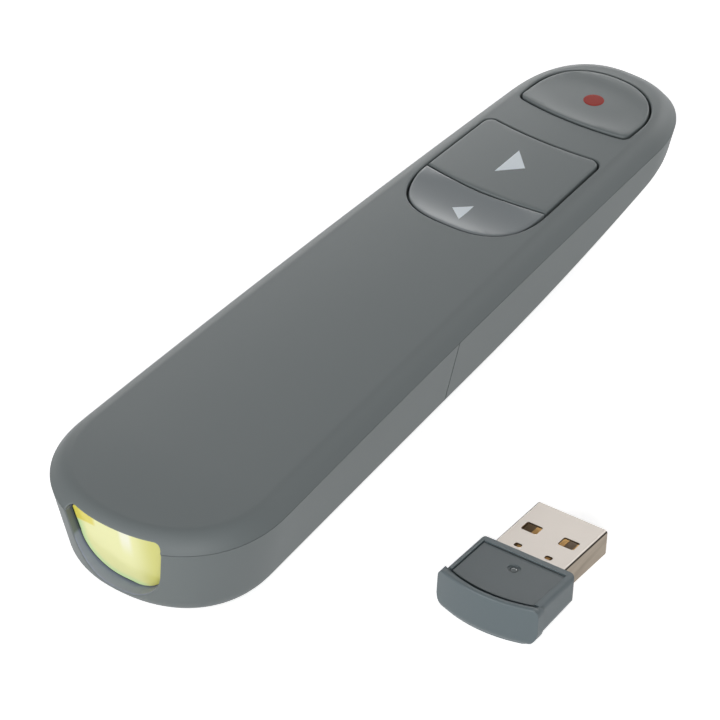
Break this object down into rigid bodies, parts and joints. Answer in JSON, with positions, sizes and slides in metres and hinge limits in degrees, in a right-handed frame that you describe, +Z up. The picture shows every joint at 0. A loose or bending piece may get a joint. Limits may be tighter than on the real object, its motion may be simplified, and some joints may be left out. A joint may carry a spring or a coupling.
{
  "type": "wireless presentation clicker",
  "caption": "Handheld presentation clicker with page and laser keys, a tail lens, a sliding battery door and a separate USB receiver.",
  "frame": {"origin": "on the flat underside of the front shell, on the centre line, 70 mm from the tail tip and so about half way along the clicker", "axes": "+Z up out of the keys, +Y along the clicker from the tail lens to the laser end, +X to the right of someone who points it"},
  "size_m": [0.0734, 0.1378, 0.0178],
  "materials": {
    "soft_grey": "soft-touch matte",
    "key_grey": "fine matte",
    "receiver_grey": "satin",
    "lens_yellow": "mirror coated",
    "window_smoke": "clear smoke",
    "inner_black": "moulded",
    "board_green": "solder mask",
    "chip_black": "moulded",
    "contact_nickel": "nickel plated",
    "plug_steel": "bright stamped",
    "gold_contact": "gold plated",
    "barrel_brass": "turned",
    "laser_glass": "polished",
    "cell_copper": "gloss sleeve",
    "screw_steel": "zinc plated"
  },
  "bodies": {
    "remote": {"top_cover": "soft_grey", "front_shell": "soft_grey", "laser_window": "window_smoke", "next_switch": "chip_black", "back_switch": "chip_black", "laser_switch": "chip_black", "circuit_board": "board_green", "radio_chip": "chip_black", "crystal": "contact_nickel", "laser_barrel": "barrel_brass", "laser_lens": "laser_glass", "laser_diode": "contact_nickel", "battery_tray": "inner_black", "left_battery": "cell_copper", "right_battery": "cell_copper", "bridge_contact": "contact_nickel", "positive_contact": "contact_nickel", "negative_contact": "contact_nickel", "rear_spring": "contact_nickel", "front_spring": "contact_nickel", "case_screws": "screw_steel", "tray_screws": "screw_steel"},
    "next_button": {"next_key": "key_grey", "next_plunger": "inner_black"},
    "back_button": {"back_key": "key_grey", "back_plunger": "inner_black"},
    "laser_button": {"laser_key": "key_grey", "laser_plunger": "inner_black"},
    "door": {"battery_door": "soft_grey", "tail_lens": "lens_yellow"},
    "receiver": {"receiver_housing": "receiver_grey", "receiver_lid": "receiver_grey", "receiver_light": "window_smoke", "usb_shell": "plug_steel", "usb_tongue": "inner_black", "usb_contacts": "gold_contact", "receiver_board": "board_green", "receiver_chip": "chip_black"}
  },
  "joints": [
    {"name": "next_press", "type": "slide", "parent": "remote", "child": "next_button", "axis": [0, 0, -1], "range_m": [0, 0.0004], "stiffness_N_per_m": 3000, "springref_m": -0.0001},
    {"name": "back_press", "type": "slide", "parent": "remote", "child": "back_button", "axis": [0, 0, -1], "range_m": [0, 0.0004], "stiffness_N_per_m": 3000, "springref_m": -0.0001},
    {"name": "laser_press", "type": "slide", "parent": "remote", "child": "laser_button", "axis": [0, 0, -1], "range_m": [0, 0.0004], "stiffness_N_per_m": 3000, "springref_m": -0.0001},
    {"name": "door_slide", "type": "slide", "parent": "remote", "child": "door", "axis": [0, -0.9998, -0.0209], "range_m": [0, 0.07]},
    {"name": "receiver_lift", "type": "slide", "parent": "remote", "child": "receiver", "axis": [0, 0, 1], "range_m": [0, 0.06]}
  ]
}
